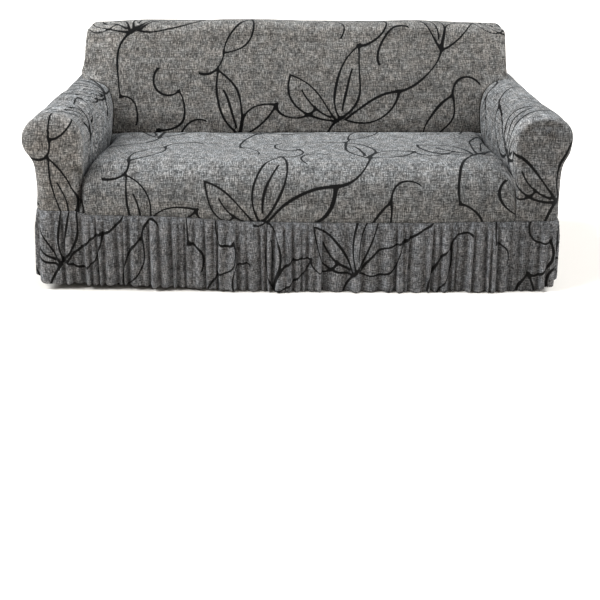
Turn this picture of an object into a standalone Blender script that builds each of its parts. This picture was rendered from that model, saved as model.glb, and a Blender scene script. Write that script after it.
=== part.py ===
"""Fitted slipcover for a three-seater sofa: eleven sewn panels of stretch cloth, hollow inside.

+X runs along the sofa, +Y to its rear, +Z up. The origin is under the middle, level with the hem.
Panels are worked out with y = 0 at the front skirt seam and moved so that the depth is centred.
"""

import math

import bmesh
import bpy
from mathutils import Vector

# Driving sizes, in metres
DEPTH = 0.850            # front skirt seam to rear skirt seam
SEAM_HEIGHT = 0.272      # where the skirt is sewn on
CORNER_RADIUS = 0.050    # plan corners of the body at the seam
SEAT_END_RADIUS = 0.045  # how far the seat rounds down into the creases beside the arms
BACK_HALF_WIDTH = 0.852
BACK_END_RADIUS = 0.040  # front and top edges into the ends of the back
REAR_RADIUS = 0.030      # sides and top into the rear face
CLOTH = 0.002
GAP = 0.0003             # between sewn neighbours
SEAM_BAND = 0.003        # straight band of cloth beside a seam
FOLD_PITCH = 0.052       # mean width of one skirt gather
SKIRT_DROP_OUT = 0.009   # how far the hanging skirt stands off the seam line
SKIRT_WAVE = 0.008       # gathers, in and out of that
HEM_LIFT = 0.003         # hem of the hollows above that of the ridges
CORNER_LIFT = 0.024      # hem where it turns the two front corners, fading out along it
CORNER_LIFT_RUN = 0.060

# Arm section from the seat crease, over the roll, to the skirt seam: across and height at the arm's
# front, the same from the middle of the seat back, and the radius that rounds it into the arm front.
ARM_ROWS = (
    # place, x_front, z_front, x_rear, z_rear, rim
    ("foot", 0.768, 0.425, 0.744, 0.427, 0.022),
    ("inner_low", 0.759, 0.480, 0.738, 0.485, 0.030),
    ("inner_high", 0.758, 0.545, 0.738, 0.552, 0.038),
    ("shoulder", 0.778, 0.602, 0.758, 0.612, 0.042),
    ("crown_in", 0.820, 0.633, 0.800, 0.645, 0.045),
    ("crown", 0.872, 0.638, 0.850, 0.652, 0.045),
    ("crown_out", 0.925, 0.617, 0.895, 0.636, 0.045),
    ("bulge", 0.964, 0.572, 0.930, 0.590, 0.045),
    ("under", 0.958, 0.515, 0.934, 0.520, 0.045),
    ("waist", 0.932, 0.455, 0.926, 0.455, 0.045),
    ("side", 0.928, 0.365, 0.928, 0.365, 0.048),
    ("seam", 0.932, 0.272, 0.932, 0.272, 0.050),
)
ARM_TAPER_END = 0.500    # depth at which the arm reaches its rear section

# Inner leg of the arm front, from the skirt seam up to the arm's foot
LEG_ROWS = (
    # x, z, rim
    (0.775, 0.272, 0.004),
    (0.772, 0.350, 0.014),
)

# Seat from the crease under the back, forward over the front edge, down to the skirt seam
SEAT_ROWS = (
    # y, z
    (0.585, 0.427),
    (0.530, 0.442),
    (0.420, 0.449),
    (0.290, 0.452),
    (0.160, 0.451),
    (0.070, 0.444),
    (0.016, 0.418),
    (-0.006, 0.368),
    (-0.006, 0.318),
    (0.000, 0.272),
)

# Back from the crease over the seat, up the front face and over the top
BACK_ROWS = (
    # y, z
    (0.585, 0.427),
    (0.584, 0.500),
    (0.602, 0.580),
    (0.626, 0.652),
    (0.652, 0.720),
    (0.678, 0.782),
    (0.706, 0.834),
    (0.756, 0.860),
    (0.820, 0.858),
)
BACK_TOP_ROW = 5         # the row of BACK_ROWS where the face starts to turn over the top

ARM_STEPS = 5            # spans along the arm
ACROSS_STEPS = 8         # spans across the seat and the back, between their rounded ends
RING_STEPS = 2           # spans round a rounded edge
FRONT_SIDE = 8           # spans of the arm front's outline that are its sides, the rest being its top
END_SIDE = 3             # the same for the end of the back
SEAT_CORE = (0.0, 0.400, 0.150)   # points inside the seat, the arm and the back, behind their panels
ARM_CORE = (0.850, 0.400, 0.400)
BACK_CORE = (0.0, 0.760, 0.550)
CLOTH_COLOUR = (0.155, 0.150, 0.145, 1.0)
SKIRT_COLOUR = (0.120, 0.120, 0.120, 1.0)


def spline(rows, place):
    """Catmull-Rom curve through the rows, at place = 0 for the first and len(rows) - 1 for the last."""
    last = len(rows) - 1
    i = min(max(int(place), 0), last - 1)
    t = place - i
    a, b, c, d = rows[max(i - 1, 0)], rows[i], rows[i + 1], rows[min(i + 2, last)]
    return tuple(
        0.5 * (2 * q + (r - p) * t + (2 * p - 5 * q + 4 * r - s) * t * t + (3 * q - p - 3 * r + s) * t ** 3)
        for p, q, r, s in zip(a, b, c, d)
    )


def mix(a, b, share):
    return a + (b - a) * share


def solve(function, target, low, high):
    """The place between low and high where a rising function reaches the target."""
    for _ in range(40):
        middle = (low + high) / 2
        if function(middle) < target:
            low = middle
        else:
            high = middle
    return (low + high) / 2


def arm_section(place, y):
    """Across and height of the right arm's surface at a place along ARM_ROWS and a depth."""
    share = min(max(y / ARM_TAPER_END, 0.0), 1.0)
    x_front, z_front, x_rear, z_rear, _ = spline([row[1:] for row in ARM_ROWS], place)
    return mix(x_front, x_rear, share), mix(z_front, z_rear, share)


def arm_rim(place):
    return spline([row[5:] for row in ARM_ROWS], place)[0]


def back_face_y(z):
    """Depth of the back's front face at a height."""
    place = solve(lambda v: spline(BACK_ROWS, v)[1], z, 0, BACK_TOP_ROW + 1)
    return spline(BACK_ROWS, place)[0]


def rear_arm_x(place):
    return arm_section(place, DEPTH)[0]


END_START = BACK_HALF_WIDTH - BACK_END_RADIUS
ON_CROWN = (3.0, 7.0)    # places between which the rear section runs steadily outwards
END_ANGLES = [math.radians(90) * j / RING_STEPS for j in range(RING_STEPS + 1)]
INNER_PLACES = [0, 0.5, 1, 2, 2.6, 3.2, 3.8]
RING_PLACES = [
    solve(rear_arm_x, END_START + BACK_END_RADIUS * math.sin(angle), *ON_CROWN) for angle in END_ANGLES
]
OUTER_PLACES = [5.8, 6.4, 7, 7.6, 8.3, 9, 10, 11]
ARM_PLACES = INNER_PLACES + RING_PLACES + OUTER_PLACES
SEAT_PLACES = [0, 1, 2.2, 3.4, 4.4, 5.4, 7, 9]   # one for each span along the arm and its leg
FIRST_RING = len(INNER_PLACES)
LAST_RING = FIRST_RING + RING_STEPS
REAR_SEAM = DEPTH - REAR_RADIUS


def offset_curve(curve, distances):
    """Moves the points of a flat curve to its left-hand side by the given distances."""
    moved = []
    for i, (a, b) in enumerate(curve):
        before, after = curve[max(i - 1, 0)], curve[min(i + 1, len(curve) - 1)]
        first = (a - before[0], b - before[1])
        second = (after[0] - a, after[1] - b)
        parts = [v for v in (first, second) if math.hypot(*v) > 1e-9]
        run = [sum(v[k] / math.hypot(*v) for v in parts) for k in (0, 1)]
        size = math.hypot(*run)
        moved.append((a - run[1] / size * distances[i], b + run[0] / size * distances[i]))
    return moved


def fill(curve, side):
    """Rows of points over the region that an upside-down U encloses with the straight line at its foot.

    The first and last `side` spans of the U are the region's sides, and the rest is its top."""
    left, top, right = curve[: side + 1], curve[side: len(curve) - side], curve[len(curve) - side - 1:][::-1]
    n, m = len(top) - 1, side
    rows = []
    for j in range(m + 1):
        v = j / m
        row = []
        for i in range(n + 1):
            u = i / n
            foot = [mix(left[0][k], right[0][k], u) for k in (0, 1)]
            corners = [
                (1 - u) * (1 - v) * left[0][k] + u * (1 - v) * right[0][k]
                + (1 - u) * v * top[0][k] + u * v * top[-1][k]
                for k in (0, 1)
            ]
            row.append(tuple(
                (1 - v) * foot[k] + v * top[i][k] + (1 - u) * left[j][k] + u * right[j][k] - corners[k]
                for k in (0, 1)
            ))
        rows.append(row)
    return rows


def add_grid(mesh, rows):
    """Adds a sheet of quads through rows of points."""
    made = [[mesh.verts.new((x, y - DEPTH / 2, z)) for x, y, z in row] for row in rows]
    for lower, upper in zip(made, made[1:]):
        for a, b, c, d in zip(lower, lower[1:], upper[1:], upper):
            mesh.faces.new((a, b, c, d))


def face_outwards(mesh, core):
    """Turns all faces the same way, away from a point that the panel covers."""
    bmesh.ops.recalc_face_normals(mesh, faces=mesh.faces)
    x, y, z = core
    inside = Vector((x, y - DEPTH / 2, z))
    outward = sum(f.normal.dot(f.calc_center_median() - inside) * f.calc_area() for f in mesh.faces)
    if outward < 0:
        bmesh.ops.reverse_faces(mesh, faces=mesh.faces)


def mirrored(rows):
    return [[(-x, y, z) for x, y, z in row] for row in rows]


def add_panel(name, grids, core, colour=CLOTH_COLOUR):
    """One panel of cloth from grids that share their edges, thickened towards the core it covers."""
    mesh = bmesh.new()
    for rows in grids:
        add_grid(mesh, rows)
    bmesh.ops.remove_doubles(mesh, verts=mesh.verts, dist=1e-5)
    face_outwards(mesh, core)
    data = bpy.data.meshes.new(name)
    mesh.to_mesh(data)
    mesh.free()
    data.shade_smooth()
    panel = bpy.data.objects.new(name, data)
    bpy.context.collection.objects.link(panel)
    cloth = panel.modifiers.new("cloth", "SOLIDIFY")
    cloth.thickness = CLOTH
    cloth.offset = -1
    material = bpy.data.materials.new(name)
    material.use_nodes = True
    shader = material.node_tree.nodes["Principled BSDF"]
    shader.inputs["Base Color"].default_value = colour
    shader.inputs["Roughness"].default_value = 0.95
    shader.inputs["Metallic"].default_value = 0.0
    data.materials.append(material)
    return panel


def two_sides(name, grids, core):
    """The right-hand panel as given, and its mirror image on the left."""
    x, y, z = core
    add_panel(name + "_right", grids, core)
    add_panel(name + "_left", [mirrored(rows) for rows in grids], (-x, y, z))


def along_arm(place, start, end):
    points = []
    for j in range(ARM_STEPS + 1):
        y = mix(start, end, j / ARM_STEPS)
        x, z = arm_section(place, y)
        points.append((x, y, z))
    return points


def arm_end(index):
    """Depth at which a row of the arm meets the front face of the back, or its rounded end."""
    place = ARM_PLACES[index]
    if index < FIRST_RING:
        return back_face_y(arm_section(place, DEPTH)[1])
    angle = END_ANGLES[min(index - FIRST_RING, RING_STEPS)]
    crown = arm_section(RING_PLACES[0], DEPTH)[1]
    return back_face_y(crown) + BACK_END_RADIUS * (1 - math.cos(angle))


def raised(point, index):
    """Lifts the last row of an arm's outer side off the skirt seam."""
    x, y, z = point
    return (x, y, z + GAP / 2) if index == len(ARM_PLACES) - 1 else point


def arm():
    rows = []
    for index, place in enumerate(ARM_PLACES):
        start = arm_rim(place)
        points = along_arm(place, start, arm_end(index) - GAP)
        x, z = arm_section(place, start + SEAM_BAND)
        band = (x, start + SEAM_BAND, z)
        rows.append([raised(p, index) for p in (points[0], band, *points[1:])])
    behind = []
    for index in range(LAST_RING, len(ARM_PLACES)):
        x, z = arm_section(ARM_PLACES[index], DEPTH)
        start = arm_end(LAST_RING) - GAP
        behind.append([raised((x, mix(start, REAR_SEAM - GAP, j / 2), z), index) for j in range(3)])
    two_sides("arm", [rows, behind], ARM_CORE)


def arm_front_outline():
    """The arm front's outline from the inner end of the skirt seam, over the roll, to its outer end."""
    rims = [row[2] for row in LEG_ROWS] + [arm_rim(place) for place in ARM_PLACES]
    curve = [row[:2] for row in LEG_ROWS]
    curve += [arm_section(place, arm_rim(place)) for place in ARM_PLACES]
    curve[0] = (curve[0][0], SEAM_HEIGHT + GAP / 2)
    curve[-1] = (curve[-1][0], SEAM_HEIGHT + GAP / 2)
    return curve, rims


def level_ends(curve):
    """Puts both ends of an offset outline back on the skirt seam."""
    return [(curve[0][0], SEAM_HEIGHT + GAP / 2), *curve[1:-1], (curve[-1][0], SEAM_HEIGHT + GAP / 2)]


def arm_front():
    curve, rims = arm_front_outline()
    leg = len(LEG_ROWS)
    hems = [2 * GAP if i >= leg else 0.0 for i in range(len(curve))]
    bands = [min(SEAM_BAND, rim / 2) for rim in rims]
    rings = [
        [(x, rim - hem, z) for (x, z), rim, hem in zip(curve, rims, hems)],
        [(x, rim - band, z) for (x, z), rim, band in zip(curve, rims, bands)],
    ]
    for step in range(1, RING_STEPS + 1):
        angle = math.radians(90) * step / RING_STEPS
        reach = [-(rim - band) * (1 - math.cos(angle)) for rim, band in zip(rims, bands)]
        moved = level_ends(offset_curve(curve, reach))
        rings.append([
            (x, (rim - band) * (1 - math.sin(angle)), z)
            for (x, z), rim, band in zip(moved, rims, bands)
        ])
    inside = [(x, z) for x, _, z in rings[-1]]
    face = [[(x, 0.0, z) for x, z in row] for row in fill(inside, FRONT_SIDE)]
    two_sides("arm_front", [rings, face], ARM_CORE)


def seat():
    """Seat and front apron: rows across, from the crease under the back to the skirt seam."""
    foot = along_arm(0, arm_rim(0), arm_end(0) - GAP)[::-1]
    leg = [(x, rim, z) for x, z, rim in LEG_ROWS[::-1]]
    leg[-1] = (leg[-1][0], leg[-1][1], SEAM_HEIGHT + GAP / 2)
    edge = foot + leg
    rows = []
    for (edge_x, edge_y, edge_z), place in zip(edge, SEAT_PLACES):
        y, z = spline(SEAT_ROWS, place)
        y, z = min(y, SEAT_ROWS[0][0] - GAP), max(z, SEAM_HEIGHT + GAP / 2)
        edge_x -= 2 * GAP
        inner = edge_x - SEAT_END_RADIUS
        half = [inner * i / (ACROSS_STEPS / 2) for i in range(ACROSS_STEPS // 2 + 1)]
        half += [inner + SEAT_END_RADIUS * share for share in (0.5, 0.85, 1.0)]
        row = []
        for x in half:
            share = max(0.0, (x - inner) / SEAT_END_RADIUS)
            drop = 1 - math.sqrt(1 - min(share, 1.0) ** 2)
            row.append((x, mix(y, edge_y, drop), mix(z, edge_z, drop)))
        rows.append([(-x, y, z) for x, y, z in row[:0:-1]] + row)
    add_panel("seat", [rows], SEAT_CORE)


def across(half_width):
    return [half_width * (2 * i / ACROSS_STEPS - 1) for i in range(ACROSS_STEPS + 1)]


def back_end():
    """Rounded end of the back and its flat end face, standing on the arm's crown, on the right."""
    crown, places = upper_back()
    profile = [spline(BACK_ROWS, place) for place in places]
    rings = []
    for angle, place in zip(END_ANGLES, RING_PLACES):
        x = END_START + BACK_END_RADIUS * math.sin(angle)
        reach = [-BACK_END_RADIUS * (1 - math.cos(angle))] * len(profile)
        ring = offset_curve(profile, reach)
        ring[-1] = (REAR_SEAM - GAP, ring[-1][1])
        foot = arm_section(place, DEPTH)[1] + (GAP if angle > 0 else 0.0)
        ring[0] = (back_face_y(crown) - reach[0], foot)
        rings.append([(x, y, z) for y, z in ring])
    edge = [(y, z) for _, y, z in rings[-1]]
    rear = [(REAR_SEAM - GAP, mix(edge[-1][1], edge[0][1], j / END_SIDE)) for j in range(1, END_SIDE + 1)]
    face = [[(BACK_HALF_WIDTH, y, z) for y, z in row] for row in fill(edge + rear, END_SIDE)]
    return rings, face


def upper_back():
    """Height at which the back clears the arms, and the places along BACK_ROWS from there up."""
    crown = arm_section(RING_PLACES[0], DEPTH)[1]
    start = solve(lambda place: spline(BACK_ROWS, place)[1], crown, 0, BACK_TOP_ROW)
    return crown, [start, 4, BACK_TOP_ROW, 5.6, 6.2, 7, 8]


def inside_back():
    low = []
    for place in ARM_PLACES[: FIRST_RING + 1]:
        x, z = arm_section(place, DEPTH)
        width = x if place == RING_PLACES[0] else x - 2 * GAP
        low.append([(w, back_face_y(z), z) for w in across(width)])
    crown, places = upper_back()
    high = []
    for place in places:
        y, z = spline(BACK_ROWS, place)
        y = back_face_y(crown) if place == places[0] else min(y, REAR_SEAM - GAP)
        high.append([(w, y, z) for w in across(END_START)])
    rings, face = back_end()
    add_panel("inside_back", [low, high, rings, face, mirrored(rings), mirrored(face)], BACK_CORE)


def outside_back():
    """Rear face with its rounded edge, inside the outline that the arms and the back leave at the rear."""
    arm_side = [arm_section(place, DEPTH) for place in ARM_PLACES[:LAST_RING:-1]]
    arm_side[0] = (arm_side[0][0], SEAM_HEIGHT + GAP / 2)
    crown = arm_section(ARM_PLACES[LAST_RING], DEPTH)[1]
    crease = [(BACK_HALF_WIDTH + 0.004, crown), (BACK_HALF_WIDTH, crown + 0.004)]
    rings, _ = back_end()
    top = [(ring[-1][0], ring[-1][2]) for ring in rings][::-1]
    end_side = [(BACK_HALF_WIDTH, mix(crown, top[0][1], share)) for share in (0.35, 0.7)]
    right = arm_side + crease + end_side + top
    middle = [(x, top[-1][1]) for x in across(END_START)[1:-1][::-1]]
    left = [(-x, z) for x, z in right[::-1]]
    curve = right + middle + left
    band = REAR_SEAM + SEAM_BAND
    ringed = [[(x, y, z) for x, z in curve] for y in (REAR_SEAM, band)]
    reach = REAR_RADIUS - SEAM_BAND
    for angle in END_ANGLES[1:]:
        moved = level_ends(offset_curve(curve, [reach * (1 - math.cos(angle))] * len(curve)))
        ringed.append([(x, band + reach * math.sin(angle), z) for x, z in moved])
    inside = [(x, z) for x, _, z in ringed[-1]]
    side = len(right) - 2
    face = [[(x, DEPTH, z) for x, z in row] for row in fill(inside, side)]
    add_panel("outside_back", [ringed, face], SEAT_CORE)


# Plan of the skirt seam: straight runs and corner arcs, counter-clockwise from the front left corner
HALF_WIDTH = ARM_ROWS[-1][1]
FRONT_RUN = 2 * (HALF_WIDTH - CORNER_RADIUS)
SIDE_RUN = DEPTH - 2 * CORNER_RADIUS
ARC_RUN = math.radians(90) * CORNER_RADIUS


def seam_point(run):
    """Place on the seam's plan and its outward direction, at a distance along it."""
    straight = (
        # start x, start y, direction, length
        (-HALF_WIDTH + CORNER_RADIUS, 0.0, (1, 0), FRONT_RUN),
        (HALF_WIDTH, CORNER_RADIUS, (0, 1), SIDE_RUN),
        (HALF_WIDTH - CORNER_RADIUS, DEPTH, (-1, 0), FRONT_RUN),
        (-HALF_WIDTH, DEPTH - CORNER_RADIUS, (0, -1), SIDE_RUN),
    )
    run %= 2 * (FRONT_RUN + SIDE_RUN) + 4 * ARC_RUN
    for x, y, (dx, dy), length in straight:
        if run <= length:
            return (x + dx * run, y + dy * run), (dy, -dx)
        run -= length
        if run <= ARC_RUN:
            turn = run / CORNER_RADIUS
            out = (dy * math.cos(turn) + dx * math.sin(turn), -dx * math.cos(turn) + dy * math.sin(turn))
            centre = (x + dx * length - dy * CORNER_RADIUS, y + dy * length + dx * CORNER_RADIUS)
            return (centre[0] + out[0] * CORNER_RADIUS, centre[1] + out[1] * CORNER_RADIUS), out
        run -= ARC_RUN
    return (-HALF_WIDTH + CORNER_RADIUS, 0.0), (0, -1)


def corner_lift(run):
    """How far the hem rises near the front corners."""
    corners = (-ARC_RUN / 2, FRONT_RUN + ARC_RUN / 2)
    around = 2 * (FRONT_RUN + SIDE_RUN) + 4 * ARC_RUN
    away = min(min(abs(run - c), around - abs(run - c)) for c in corners)
    return CORNER_LIFT * math.exp(-((away / CORNER_LIFT_RUN) ** 2))


def fold_edges(start, end, seed):
    """Distances at which each gather starts, with widths that vary along the run."""
    count = round((end - start) / FOLD_PITCH)
    widths = [1 + 0.26 * math.sin(2.4 * i + seed) + 0.14 * math.sin(5.1 * i + 2 * seed) for i in range(count)]
    scale = (end - start) / sum(widths)
    edges = [start]
    for width in widths:
        edges.append(edges[-1] + width * scale)
    return edges


def skirt(name, start, end, seed):
    """One length of skirt: hollow, flank, ridge and flank of each gather, at the seam, below it, at the hem."""
    edges = fold_edges(start + GAP / 2, end - GAP / 2, seed)
    columns = []
    for number, (low, high) in enumerate(zip(edges, edges[1:])):
        depth = 1 - 0.3 * (0.5 + 0.5 * math.sin(1.7 * number + seed))
        columns += [(mix(low, high, quarter / 4), -math.cos(math.radians(90) * quarter) * depth)
                    for quarter in range(4)]
    columns.append((edges[-1], -1.0))
    levels = (
        # height, share of the stand-off, share of the wave
        (SEAM_HEIGHT - GAP / 2, 0.0, 0.0),
        (SEAM_HEIGHT - 0.030, 0.8, 0.7),
        (0.0, 1.0, 1.0),
    )
    rows = []
    for height, out_share, wave_share in levels:
        row = []
        for run, wave in columns:
            (x, y), (out_x, out_y) = seam_point(run)
            away = SKIRT_DROP_OUT * out_share + SKIRT_WAVE * wave_share * wave
            lift = HEM_LIFT * (1 - wave) / 2 + corner_lift(run) if height == 0 else 0.0
            row.append((x + out_x * away, y + out_y * away, height + lift))
        rows.append(row)
    add_panel(name, [rows], SEAT_CORE, SKIRT_COLOUR)


def skirts():
    half_arc = ARC_RUN / 2
    front, side = FRONT_RUN + ARC_RUN, SIDE_RUN + ARC_RUN
    skirt("skirt_front", -half_arc, front - half_arc, 1.0)
    skirt("skirt_right", front - half_arc, front + side - half_arc, 2.0)
    skirt("skirt_back", front + side - half_arc, 2 * front + side - half_arc, 3.0)
    skirt("skirt_left", 2 * front + side - half_arc, 2 * (front + side) - half_arc, 4.0)


def main():
    for old in list(bpy.data.objects):
        bpy.data.objects.remove(old)
    inside_back()
    outside_back()
    seat()
    arm()
    arm_front()
    skirts()


main()
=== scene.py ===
import math

import bmesh
import bpy
import numpy as np
from mathutils import Matrix, Vector, kdtree


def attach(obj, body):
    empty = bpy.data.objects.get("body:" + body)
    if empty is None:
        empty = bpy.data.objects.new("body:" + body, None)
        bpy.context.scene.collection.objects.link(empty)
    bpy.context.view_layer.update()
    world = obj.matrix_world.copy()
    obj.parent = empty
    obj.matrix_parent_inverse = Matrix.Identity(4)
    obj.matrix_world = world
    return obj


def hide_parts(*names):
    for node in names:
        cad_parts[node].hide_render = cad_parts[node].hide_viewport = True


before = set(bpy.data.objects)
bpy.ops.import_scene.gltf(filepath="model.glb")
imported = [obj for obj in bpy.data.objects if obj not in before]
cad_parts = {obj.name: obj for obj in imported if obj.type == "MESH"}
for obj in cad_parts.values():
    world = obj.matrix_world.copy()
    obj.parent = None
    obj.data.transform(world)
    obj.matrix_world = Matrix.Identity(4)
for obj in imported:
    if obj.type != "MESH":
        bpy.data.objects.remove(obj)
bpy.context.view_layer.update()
print("frame loaded")

quarter = math.radians(90)

# Where the photograph was taken from: metres, degrees, and the lens on a square sensor
camera = {
    "place": (-0.047, -4.063, 1.499),
    "down": 15.973,
    "right": 0.83,
    "roll": 0.507,
    "lens": 64.78,
    "sensor": 36.0,
    "shiftUp": -0.2200,
}


def addCamera():
    down, turn, roll = (math.radians(camera[key]) for key in ("down", "right", "roll"))
    ahead = Vector((math.sin(turn) * math.cos(down), math.cos(turn) * math.cos(down), -math.sin(down)))
    side = Vector((math.cos(turn), -math.sin(turn), 0))
    up = side.cross(ahead)
    across = side * math.cos(roll) + up * math.sin(roll)
    above = up * math.cos(roll) - side * math.sin(roll)
    lens = bpy.data.cameras.new("camera")
    lens.sensor_width = camera["sensor"]
    lens.lens = camera["lens"]
    lens.shift_y = camera["shiftUp"]
    stand = bpy.data.objects.new("camera", lens)
    stand.matrix_world = Matrix((across, above, -ahead)).transposed().to_4x4()
    stand.location = camera["place"]
    bpy.context.scene.collection.objects.link(stand)
    bpy.context.scene.camera = stand


addCamera()
print("camera placed")

# What all the cloth shares. Panels are worked out with y = 0 at the front skirt seam.
cloth = {
    "thick": 0.002,
    "gap": 0.0003,  # between sewn neighbours
    "depth": 0.850,  # front skirt seam to rear skirt seam
    "seam": 0.272,  # height of the skirt seam
    "step": 0.0075,  # size of a cell of the mesh
    "seatEnd": 0.045,  # seat's rounding into the creases beside the arms
    "rearRound": 0.030,  # rounding into the rear face
    "paintedLightToLeft": 0.10,  # painted light: how much paler it gets with each metre to the left
    "dent": (0.0012, 0.006),  # how far it dips into the skirt seam, and how widely
}

# Right arm from the seat crease over the roll to the skirt seam: across and height at its front,
# the same at its rear, and the radius that rounds it into the arm front
arm = {
    "rows": (
        (0.768, 0.425, 0.744, 0.427, 0.022),
        (0.759, 0.480, 0.738, 0.485, 0.030),
        (0.758, 0.545, 0.738, 0.552, 0.038),
        (0.778, 0.602, 0.758, 0.612, 0.042),
        (0.820, 0.633, 0.800, 0.645, 0.045),
        (0.872, 0.638, 0.850, 0.652, 0.045),  # crown
        (0.925, 0.617, 0.895, 0.636, 0.045),
        (0.964, 0.572, 0.930, 0.590, 0.045),
        (0.958, 0.515, 0.934, 0.520, 0.045),
        (0.932, 0.455, 0.926, 0.455, 0.045),
        (0.928, 0.365, 0.928, 0.365, 0.048),
        (0.932, 0.272, 0.932, 0.272, 0.050),
    ),
    "leg": ((0.775, 0.272, 0.004), (0.772, 0.350, 0.014)),  # inner leg of the arm front: x, z, radius
    "taperEnd": 0.500,  # depth at which the arm reaches its rear section
    "steadyRise": (3, 7),  # rows between which the rear section runs outwards
}

seat = {
    "rows": (  # depth and height, from the crease under the back to the skirt seam
        (0.585, 0.427), (0.530, 0.442), (0.420, 0.450), (0.280, 0.456), (0.150, 0.462),
        (0.072, 0.458), (0.036, 0.433), (0.010, 0.394), (-0.004, 0.340), (0.000, 0.272),
    ),
    "places": (0, 1, 2.2, 3.4, 4.4, 5.4, 7, 9),  # rows met at even steps along the arm and down its leg
    "alongArm": 5,  # how many of those steps are along the arm
}

back = {
    "rows": (  # depth and height, from the seat crease up the face and over the top
        (0.585, 0.427), (0.584, 0.500), (0.602, 0.580), (0.626, 0.652), (0.652, 0.720),
        (0.678, 0.782), (0.705, 0.843), (0.746, 0.861), (0.820, 0.858),
    ),
    "faceEnd": 6,
    "halfWidth": 0.852,
    "endRound": 0.040,
}


def spline(rows, places):
    # Catmull-Rom curve, at place 0 on the first row
    rows = np.asarray(rows, float)
    places = np.asarray(places, float)
    last = len(rows) - 1
    i = np.clip(places.astype(int), 0, last - 1)
    t = (places - i)[..., None]
    a, b, c, d = rows[np.maximum(i - 1, 0)], rows[i], rows[i + 1], rows[np.minimum(i + 2, last)]
    slope, bend, twist = c - a, 2 * a - 5 * b + 4 * c - d, 3 * b - a - 3 * c + d
    return 0.5 * (2 * b + slope * t + bend * t ** 2 + twist * t ** 3)


def runAlong(points):
    # distance run along a line of points
    steps = np.linalg.norm(np.diff(points, axis=0), axis=1)
    return np.concatenate([[0.0], np.cumsum(steps)])


def runAt(rows, places, count):
    # distance run along a curve up to each of its places
    dense = np.linspace(0, len(rows) - 1, count)
    return np.interp(places, dense, runAlong(spline(rows, dense)))


def evenPlaces(rows, start, end):
    # places between start and end that lie about one cell apart on the curve
    dense = np.linspace(start, end, 400)
    run = runAlong(spline(rows, dense))
    count = max(2, round(run[-1] / cloth["step"]))
    return np.interp(np.linspace(0, run[-1], count + 1), run, dense)


def mix(a, b, share):
    return a + (b - a) * share


def smooth(value, low, high):
    # soft step from 0 at the first limit to 1 at the second, which may be the lower one
    t = np.clip((value - low) / (high - low), 0, 1)
    return t * t * (3 - 2 * t)


def within(at, limits):
    # share of an effect at each point: soft steps along an axis, or with ~ bumps about a middle
    share = 1.0
    for axis, low, high in limits:
        value = at[axis.strip("~")]
        share = share * (np.exp(-((value - low) / high) ** 2) if "~" in axis else smooth(value, low, high))
    return share


def spread(at, rows):
    # sum of amounts, each within its limits
    return sum(amount * within(at, limits) for amount, *limits in rows)


armTable = np.array(arm["rows"])
armRear = armTable[:, 2:4]
backEndStart = back["halfWidth"] - back["endRound"]
rearSeam = cloth["depth"] - cloth["rearRound"]
gap = cloth["gap"]
facePlaces = np.linspace(0, back["faceEnd"], 800)
faceLine = spline(back["rows"], facePlaces)


def armSection(place, depth):
    row = spline(armTable, place)
    share = np.clip(np.asarray(depth, float) / arm["taperEnd"], 0, 1)
    return mix(row[..., 0], row[..., 2], share), mix(row[..., 1], row[..., 3], share)


def armRim(place):
    return spline(armTable, place)[..., 4]


def backFace(height):
    # depth of the back's front face
    return np.interp(height, faceLine[:, 1], faceLine[:, 0])


def backRun(height):
    # how far up the cloth of that face a height lies
    return np.interp(height, faceLine[:, 1], runAlong(faceLine))


def risePlace(across):
    # place on the arm's rear section at a distance from the middle of the sofa
    places = np.linspace(*arm["steadyRise"], 800)
    return np.interp(across, spline(armRear, places)[:, 0], places)


ringStart = float(risePlace(backEndStart))
ringEnd = float(risePlace(back["halfWidth"]))
crown = float(spline(armRear, ringStart)[1])  # height where the back clears the arms


def armEnd(place):
    # depth at which the arm meets the front of the back, or its rounded end
    row = spline(armRear, place)
    reach = np.clip((row[..., 0] - backEndStart) / back["endRound"], 0, 1)
    rounded = backFace(crown) + back["endRound"] * (1 - np.sqrt(1 - reach ** 2))
    return np.where(np.asarray(place) < ringStart, backFace(row[..., 1]), rounded)


innerPlaces = evenPlaces(armRear, 0, ringStart)
ringPlaces = risePlace(backEndStart + back["endRound"] * np.sin(quarter * np.linspace(0, 1, 8)))
outerPlaces = evenPlaces(armRear, ringEnd, len(armTable) - 1)
armPlaces = np.concatenate([innerPlaces[:-1], ringPlaces, outerPlaces[1:]])
armSpans = 136  # cells along the arm
seamTop = cloth["seam"] + gap / 2  # foot of the body panels


def patch(x, y, z, u, v):
    # a grid of points with their places on the flat cloth
    shape = np.broadcast(x, y, z, u, v).shape
    points = np.stack([np.broadcast_to(part, shape) for part in (x, y, z)], -1)
    flat = np.stack([np.broadcast_to(part, shape) for part in (u, v)], -1)
    return points.astype(float), flat.astype(float)


def mirrored(patches, turnCloth):
    # left-hand copies, whose cloth turns over with them where it crosses the middle of the sofa
    return [(points * (-1, 1, 1), flat * ((-1, 1) if turnCloth else (1, 1))) for points, flat in patches]


def outward(curve):
    # unit vectors to the left-hand side of a flat curve
    steps = np.diff(curve, axis=0)
    steps /= np.linalg.norm(steps, axis=1)[:, None]
    way = np.vstack([steps[:1], steps]) + np.vstack([steps, steps[-1:]])
    way /= np.linalg.norm(way, axis=1)[:, None]
    return np.stack([-way[:, 1], way[:, 0]], 1)


def fillInside(curve, side):
    # Coons patch inside an upside-down U whose first and last spans are its sides
    left, top, right = curve[: side + 1], curve[side: len(curve) - side], curve[len(curve) - side - 1:][::-1]
    u = np.linspace(0, 1, len(top))[None, :, None]
    v = np.linspace(0, 1, side + 1)[:, None, None]
    foot = mix(left[0], right[0], u)
    corners = mix(foot, mix(top[0], top[-1], u), v)
    return mix(foot, top[None], v) + mix(left[:, None], right[:, None], u) - corners


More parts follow.
